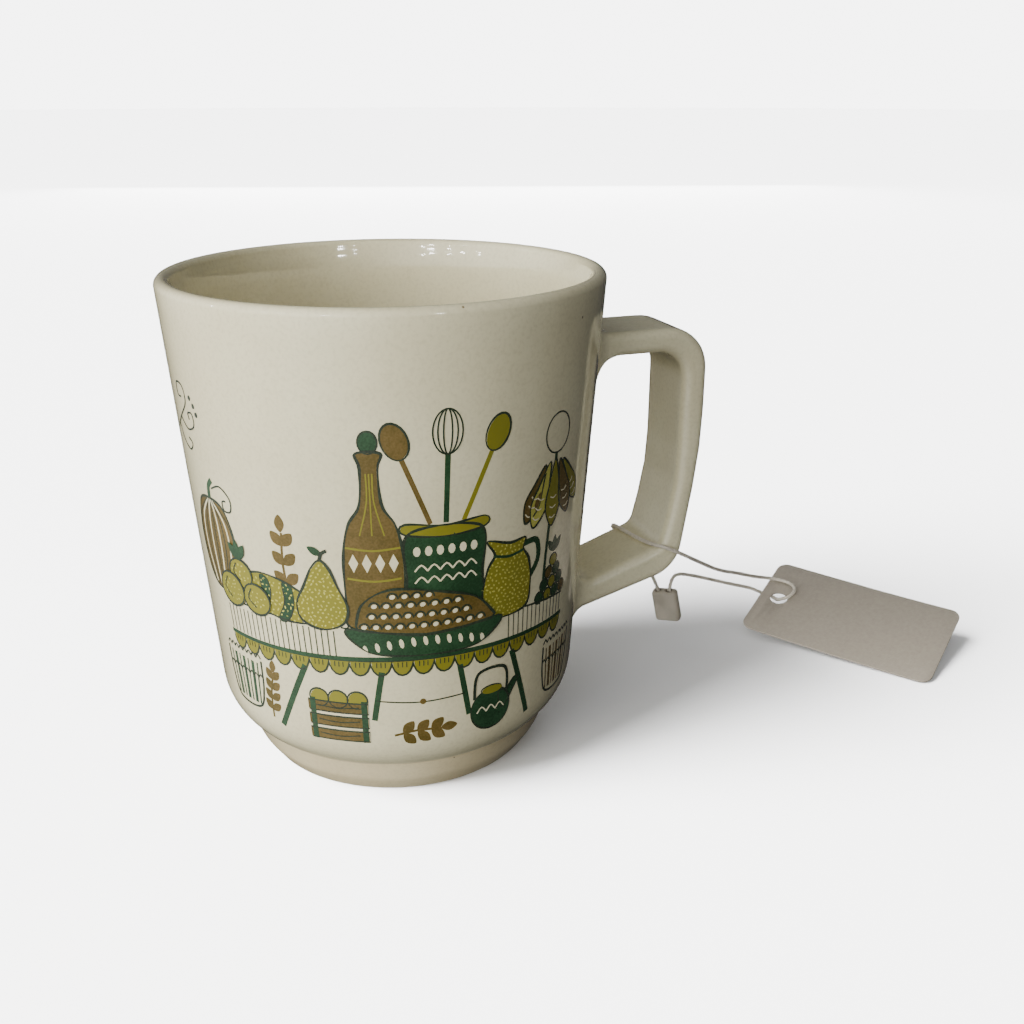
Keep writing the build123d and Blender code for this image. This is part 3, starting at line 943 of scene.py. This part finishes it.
class MUG_OT_handle(bpy.types.Operator):
    """Sweeps the strap handle's section and swells its roots into the wall"""

    bl_idname = "mug.handle"
    bl_label = "Pull the handle"

    def execute(self, context):
        sizes, looks = context.scene.mug_sizes, context.scene.mug_looks
        pairs = strap_ladder()
        ring_count = len(strap_section(1.0, 1.0, 0.1)) - 1
        calm()
        bpy.ops.mesh.primitive_grid_add(x_subdivisions=len(pairs) - 1, y_subdivisions=ring_count, size=1.0)
        strap = start("strap_handle")
        bpy.ops.object.mode_set(mode="OBJECT")
        mesh = strap.data
        edge, flare = sizes.strap_edge / MM, sizes.root_flare / MM
        spread = FLARE_SPREAD * flare
        for vertex in mesh.vertices:
            outer, inner = pairs[round((vertex.co.x + 0.5) * (len(pairs) - 1))]
            through = (outer - inner) / 2
            ring = strap_section(STRAP_WIDTH / 2, through.length, edge)
            (across, depth), way = ring[round((vertex.co.y + 0.5) * ring_count)]
            through.normalize()
            middle = (outer + inner) / 2 + through * depth
            away = math.hypot(middle.x, across) - wall_radius(middle.y)
            swell = flare * (1.0 - min(1.0, max(0.0, away / spread))) ** 2
            across += way.x * swell
            middle += through * (way.y * swell)
            vertex.co = Vector((middle.x, across, middle.y)) * MM
        only(strap)
        bpy.ops.object.mode_set(mode="EDIT")
        bpy.ops.mesh.select_all(action="SELECT")
        bpy.ops.mesh.remove_doubles(threshold=0.001 * MM)
        bpy.ops.mesh.fill_holes(sides=0)
        bpy.ops.mesh.normals_make_consistent(inside=False)
        smooth(strap, 60.0)
        mesh.materials.append(fired_glaze("kiln_glaze_handle", looks.glaze_light, looks.glaze_dark, 0.15))
        settle(strap, "mug", "handle_glaze", "handle", "upper_slip_seam", "lower_slip_seam")
        return {"FINISHED"}


class MUG_OT_print(bpy.types.Operator):
    """Prints the kitchen frieze on both sides of the wall"""

    bl_idname = "mug.print"
    bl_label = "Print the frieze"

    def execute(self, context):
        looks = context.scene.mug_looks
        artist = Artist()
        artist.frieze(0.0)
        artist.frieze(-FRIEZE_REPEAT)
        shades = {"green": (looks.ink_green, "2D4B31"), "olive": (looks.ink_olive, "7A7828"),
                  "brown": (looks.ink_brown, "6A5830"), "line": (looks.ink_line, "343F30"),
                  "pale": (looks.ink_pale, "A9A64E"), "cream": (looks.glaze_light, looks.glaze_dark)}
        for name, sheet in artist.inks.items():
            piece = wrapped(sheet, "print_" + name, cut=name != "pale")
            piece.data.materials.append(fired_ink("fired_ink_" + name, *shades[name], 0.24))
            settle(piece, "mug", "body_glaze")
        return {"FINISHED"}


def on_card(along, across, above):
    """A point along and across the tag card and above its middle plane."""
    return CARD_CORNER + CARD_LONG * along + CARD_SHORT * across + CARD_UP * above


# the string's rings: their spacing in millimetres, their sides and how deep the plies' groove is
RING_STEP, RING_SIDES, LOBE_DEPTH = 0.2, 12, 0.20


def string_points():
    """The string's route from one seal socket round to the other, in millimetres."""
    over_handle = [(60.6, 9.4, 20.4), (57.2, 9.9, 25.4), (53.8, 9.6, 29.2), (50.9, 9.3, 31.8),
                   (50.4, 7.8, 33.2), (50.9, 3.4, 33.3), (51.6, -2.8, 33.6), (52.5, -7.5, 34.0),
                   (54.3, -9.4, 34.0), (58.9, -9.3, 31.5)]
    to_card = [(65.8, -4.2, 26.7), (73.6, 1.5, 21.4), (82.2, 7.5, 17.0), (90.6, 13.5, 12.3)]
    on_top = [(-0.6, 8.4, 1.5), (2.9, 7.2, 1.1), (6.2, 7.9, 1.3), (7.6, 10.1, 1.5),
              (6.9, 12.4, 1.2), (5.0, 13.2, 0.4)]
    below = [(4.0, 12.3, -0.9), (1.6, 11.0, -1.4), (-1.6, 10.9, -1.3)]
    back = [(91.8, 17.1, 7.7), (85.4, 14.6, 10.6), (77.2, 11.6, 14.5), (71.2, 9.6, 17.2),
            (67.6, 8.5, 18.6), (65.2, 7.7, 18.3)]
    first = SEAL_CORNER + SEAL_ACROSS * 1.5 + SEAL_DOWN * 0.35
    last = SEAL_CORNER + SEAL_ACROSS * 4.0 + SEAL_DOWN * 0.35
    points = [first] + [Vector(p) for p in over_handle + to_card]
    return points + [on_card(*p) for p in on_top + below] + [Vector(p) for p in back] + [last]


class MUG_OT_string(bpy.types.Operator):
    """Lays the two-ply string over the handle and through the card"""

    bl_idname = "mug.string"
    bl_label = "Tie the string"

    def execute(self, context):
        sizes = context.scene.mug_sizes
        curve = bpy.data.curves.new("string_route", "CURVE")
        curve.dimensions = "3D"
        curve.resolution_u = 24
        spline = curve.splines.new("NURBS")
        points = string_points()
        spline.points.add(len(points) - 1)
        for control, spot in zip(spline.points, points):
            control.co = (*(spot * MM), 1.0)
        spline.order_u = 3
        spline.use_endpoint_u = True
        route = bpy.data.objects.new("string_route", curve)
        bpy.context.collection.objects.link(route)
        bpy.context.view_layer.update()
        line = bpy.data.meshes.new_from_object(route)
        path = [v.co.copy() for v in line.vertices]
        length = sum((b - a).length for a, b in zip(path, path[1:]))
        bpy.data.objects.remove(route)
        bpy.data.meshes.remove(line)

        # close rings with a two-lobed section that turns with the twist
        count = math.ceil(length / (RING_STEP * MM))
        even = resample(path, count)
        sides, radius = RING_SIDES, sizes.string_thick / 2
        verts, faces = [], []
        up = (even[1] - even[0]).orthogonal().normalized()
        for i, spot in enumerate(even):
            ahead = (even[min(i + 1, count)] - even[max(i - 1, 0)]).normalized()
            up = (up - ahead * up.dot(ahead)).normalized()
            side = ahead.cross(up)
            spin = 2 * math.pi * i * (length / count) / sizes.twist_pitch
            for k in range(sides):
                a = 2 * math.pi * k / sides
                size = radius * (1.0 - LOBE_DEPTH * (1.0 - abs(math.cos(a)) ** 0.8))
                turn = a + spin
                verts.append(spot + (up * math.cos(turn) + side * math.sin(turn)) * size)
            if i:
                base = (i - 1) * sides
                faces += [[base + k, base + (k + 1) % sides, base + sides + (k + 1) % sides,
                           base + sides + k] for k in range(sides)]
        faces += [list(range(sides))[::-1], list(range(count * sides, (count + 1) * sides))]
        mesh = bpy.data.meshes.new("twisted_string")
        mesh.from_pydata(verts, [], faces)
        cord = bpy.data.objects.new("twisted_string", mesh)
        bpy.context.collection.objects.link(cord)
        only(cord)
        bpy.ops.object.mode_set(mode="EDIT")
        bpy.ops.mesh.select_all(action="SELECT")
        bpy.ops.mesh.normals_make_consistent(inside=False)
        calm()
        smooth(cord, 70.0)
        mesh.materials.append(twisted_cotton("cotton_string_two_ply"))
        settle(cord, "mug", "cotton_string", "tag_string")
        return {"FINISHED"}


class MUG_OT_card(bpy.types.Operator):
    """Cuts the blank tag board with round corners and a punched hole"""

    bl_idname = "mug.card"
    bl_label = "Cut the tag"

    def execute(self, context):
        sizes, looks = context.scene.mug_sizes, context.scene.mug_looks
        calm()
        bpy.ops.mesh.primitive_plane_add(size=1.0, scale=(1, 1, 1))
        board = start("tag_board")
        bpy.ops.mesh.select_all(action="SELECT")
        bpy.ops.transform.resize(value=(CARD_LENGTH * MM, CARD_WIDTH * MM, 1))
        bpy.ops.mesh.bevel(offset=CARD_ROUND * MM, segments=8, affect="VERTICES")
        calm()
        modify(board, "SOLIDIFY", thickness=CARD_THICK * MM, offset=0.0)
        half = CARD_LENGTH / 2
        bpy.ops.mesh.primitive_cylinder_add(vertices=40, radius=HOLE_R * MM, depth=4 * MM,
                                            location=((HOLE_IN - half) * MM, 0, 0))
        punch = bpy.context.active_object
        modify(board, "BOOLEAN", operation="DIFFERENCE", object=punch, solver="EXACT")
        bpy.data.objects.remove(punch)
        only(board)
        bpy.ops.object.mode_set(mode="EDIT")
        for k in range(1, 22):
            bpy.ops.mesh.select_all(action="SELECT")
            bpy.ops.mesh.bisect(plane_co=((k * 2.0 - half) * MM, 0, 0), plane_no=(1, 0, 0))
        calm()
        modify(board, "BEVEL", width=CARD_EDGE * MM, segments=2, limit_method="ANGLE",
               angle_limit=math.radians(60), use_clamp_overlap=True)
        for vertex in board.data.vertices:
            part = vertex.co.x / (half * MM)
            vertex.co.z += sizes.card_curl * (part * part - 0.35) * (0.5 if part < 0 else 1.0)
        middle = on_card(half, CARD_WIDTH / 2, 0) * MM
        turn = Matrix((CARD_LONG, -CARD_SHORT, CARD_UP)).transposed().to_4x4()
        board.data.transform(Matrix.Translation(middle) @ turn)
        smooth(board, 40.0)
        board.data.materials.append(pressed_board("pressed_tag_board", looks.card, "A0978A"))
        settle(board, "card", "tag_card", "swing_card")
        return {"FINISHED"}


class MUG_OT_seal(bpy.types.Operator):
    """Gives the moulded seal and its plug their nylon finish"""

    bl_idname = "mug.seal"
    bl_label = "Finish the seal"

    def execute(self, context):
        for name, light, dark in (("seal_housing", "B3AB9A", "A39B8B"), ("seal_plug", "8C8475", "7D7567")):
            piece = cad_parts[name]
            nylon = moulded_nylon("moulded_nylon_" + name, light, dark)
            if piece.material_slots:
                for slot in piece.material_slots:
                    slot.material = nylon
            else:
                piece.data.materials.append(nylon)
        return {"FINISHED"}


# the camera's place in metres, the way it looks and its lens in millimetres
CAMERA_AT = (-0.04708, -0.20391, 0.12419)
VIEW_GAZE = Vector((0.3091, 0.8821, -0.3554))
LENS = 40.28
WINDOW_WAY = Vector((-0.93, -0.25, 0.12)).normalized()
# the paper cove in metres: near enough for every view's far clip
COVE_R, COVE_TALL = 5.0, 2.7
LAMP_REACH, LAMP_WATTS_PER_M2 = 1.7, 190.0


def room_world():
    """A dim room that brightens towards the window."""
    world = bpy.data.worlds.new("dim_room")
    world.use_nodes = True
    tree = world.node_tree
    way = node(tree, "ShaderNodeTexCoord").outputs["Generated"]
    window = node(tree, "ShaderNodeVectorMath", [(0, way)], operation="DOT_PRODUCT", in1=WINDOW_WAY)
    glow = node(tree, "ShaderNodeMapRange", [("Value", window.outputs["Value"])], From_Min=-0.05,
                From_Max=1.0, To_Min=0.07, To_Max=2.2, interpolation_type="SMOOTHSTEP")
    height = node(tree, "ShaderNodeSeparateXYZ", [(0, way)]).outputs["Z"]
    depth = node(tree, "ShaderNodeMapRange", [("Value", height)], From_Min=-0.45, From_Max=0.05,
                 To_Min=0.32, To_Max=1.0)
    room = node(tree, "ShaderNodeMath", [(0, glow.outputs[0]), (1, depth.outputs[0])],
                operation="MULTIPLY")
    tree.links.new(room.outputs[0], tree.nodes["Background"].inputs["Strength"])
    tree.nodes["Background"].inputs["Color"].default_value = (1.0, 1.0, 1.0, 1.0)
    return world


def lamp(name, kind, where, power, receivers=None, **settings):
    """A light aimed at the mug, optionally lighting only the objects of a collection."""
    data = bpy.data.lights.new(name, kind)
    data.energy = power
    for key, value in settings.items():
        setattr(data, key, value)
    made = bpy.data.objects.new(name, data)
    bpy.context.collection.objects.link(made)
    made.location = where
    aim = Vector((0.0, 0.0, 0.05)) - Vector(where)
    made.rotation_euler = aim.to_track_quat("-Z", "Y").to_euler()
    if receivers:
        made.light_linking.receiver_collection = receivers
    return made


class MUG_OT_stage(bpy.types.Operator):
    """Sets the pale floor, the soft lights and the camera"""

    bl_idname = "mug.stage"
    bl_label = "Set the stage"

    def execute(self, context):
        calm()
        bpy.ops.mesh.primitive_circle_add(vertices=96, radius=COVE_R, fill_type="NGON")
        cove = start("paper_cove")
        bpy.ops.mesh.select_mode(type="EDGE")
        bpy.ops.mesh.select_non_manifold()
        bpy.ops.mesh.extrude_region_move(TRANSFORM_OT_translate={"value": (0, 0, COVE_TALL)})
        calm()
        # seamless backdrop paper: matt white, too smooth for its tooth to show
        cove.data.materials.append(finish_of("seamless_paper", Roughness=0.9, Specular_IOR_Level=0.1,
                                             Base_Color=linear("EFEFEF"))[0])
        # the same paper lit from behind, about as bright as the lit floor
        cove.data.materials.append(finish_of("glowing_paper", Base_Color=linear("000000"),
                                             Specular_IOR_Level=0.0, Emission_Strength=6.1,
                                             Emission_Color=linear("FFFFFF"))[0])
        for face in cove.data.polygons:
            face.material_index = int(abs(face.normal.z) < 0.5)
        cove.visible_diffuse = cove.visible_glossy = cove.visible_shadow = False

        floor_only = bpy.data.collections.new("paper_lit_alone")
        floor_only.objects.link(cove)
        lamp("high_scrim", "SUN", (-1.02, -0.10, 0.98), 20.6, floor_only, angle=math.radians(34))
        lamp("low_scrim", "SUN", (-1.00, -0.04, 0.45), 12.8, floor_only, angle=math.radians(26))
        window = lamp("window_key", "AREA", (-0.82, -0.30, 0.22), 9.6, shape="RECTANGLE", size=0.55,
                      size_y=0.45, color=(1.0, 0.96, 0.84))
        window.visible_glossy = False
        behind = lamp("back_fill", "AREA", (0.35, 1.15, 0.22), 9.0, shape="RECTANGLE", size=0.9, size_y=0.4)
        behind.visible_glossy = False
        # small ceiling lamps behind the viewer, which the glaze shows as glints
        glints = ((33, 0.72, 0.09), (24, 0.80, 0.05), (-18, 0.68, 0.06), (-24, 0.76, 0.09), (-35, 0.72, 0.05),
                  (-45, 0.80, 0.07), (-56, 0.72, 0.05), (-88, 0.70, 0.06))
        for k, (turn, height, size) in enumerate(glints):
            way = math.radians(turn - 109.3)
            where = (LAMP_REACH * math.cos(way), LAMP_REACH * math.sin(way), height)
            lamp("shop_lamp_%d" % (k + 1), "AREA", where, LAMP_WATTS_PER_M2 * size * size,
                 shape="RECTANGLE", size=size, size_y=size * 0.45)
        context.scene.world = room_world()

        data = bpy.data.cameras.new("camera")
        data.sensor_width, data.lens = 36.0, LENS
        data.clip_start = 0.01
        camera = bpy.data.objects.new("camera", data)
        bpy.context.collection.objects.link(camera)
        camera.location = CAMERA_AT
        camera.rotation_euler = VIEW_GAZE.to_track_quat("-Z", "Y").to_euler()
        context.scene.camera = camera
        return {"FINISHED"}


class MUG_PT_panel(bpy.types.Panel):
    """Lists the mug's build steps and settings"""

    bl_label = "Printed Mug"
    bl_idname = "MUG_PT_panel"
    bl_space_type = "VIEW_3D"
    bl_region_type = "UI"
    bl_category = "Mug"

    def draw(self, context):
        layout = self.layout
        for group in (context.scene.mug_sizes, context.scene.mug_looks):
            for key in group.bl_rna.properties.keys():
                if key not in ("rna_type", "name"):
                    layout.prop(group, key)
        for step in STEPS:
            layout.operator(step.bl_idname)


STEPS = (MUG_OT_stage, MUG_OT_card, MUG_OT_string, MUG_OT_body, MUG_OT_handle, MUG_OT_print, MUG_OT_seal)
CLASSES = (MugLooks, MugSizes) + STEPS + (MUG_PT_panel,)


def register():
    """Registers the classes and puts their settings on the scene."""
    for item in CLASSES:
        bpy.utils.register_class(item)
    bpy.types.Scene.mug_looks = bpy.props.PointerProperty(type=MugLooks)
    bpy.types.Scene.mug_sizes = bpy.props.PointerProperty(type=MugSizes)


def unregister():
    """Takes the settings and classes away again."""
    del bpy.types.Scene.mug_sizes
    del bpy.types.Scene.mug_looks
    for item in reversed(CLASSES):
        bpy.utils.unregister_class(item)


def main():
    """Builds everything in order."""
    register()
    bpy.ops.mug.stage()
    bpy.ops.mug.card()
    bpy.ops.mug.string()
    bpy.ops.mug.body()
    bpy.ops.mug.handle()
    bpy.ops.mug.print()
    bpy.ops.mug.seal()


if __name__ == "__main__":
    main()
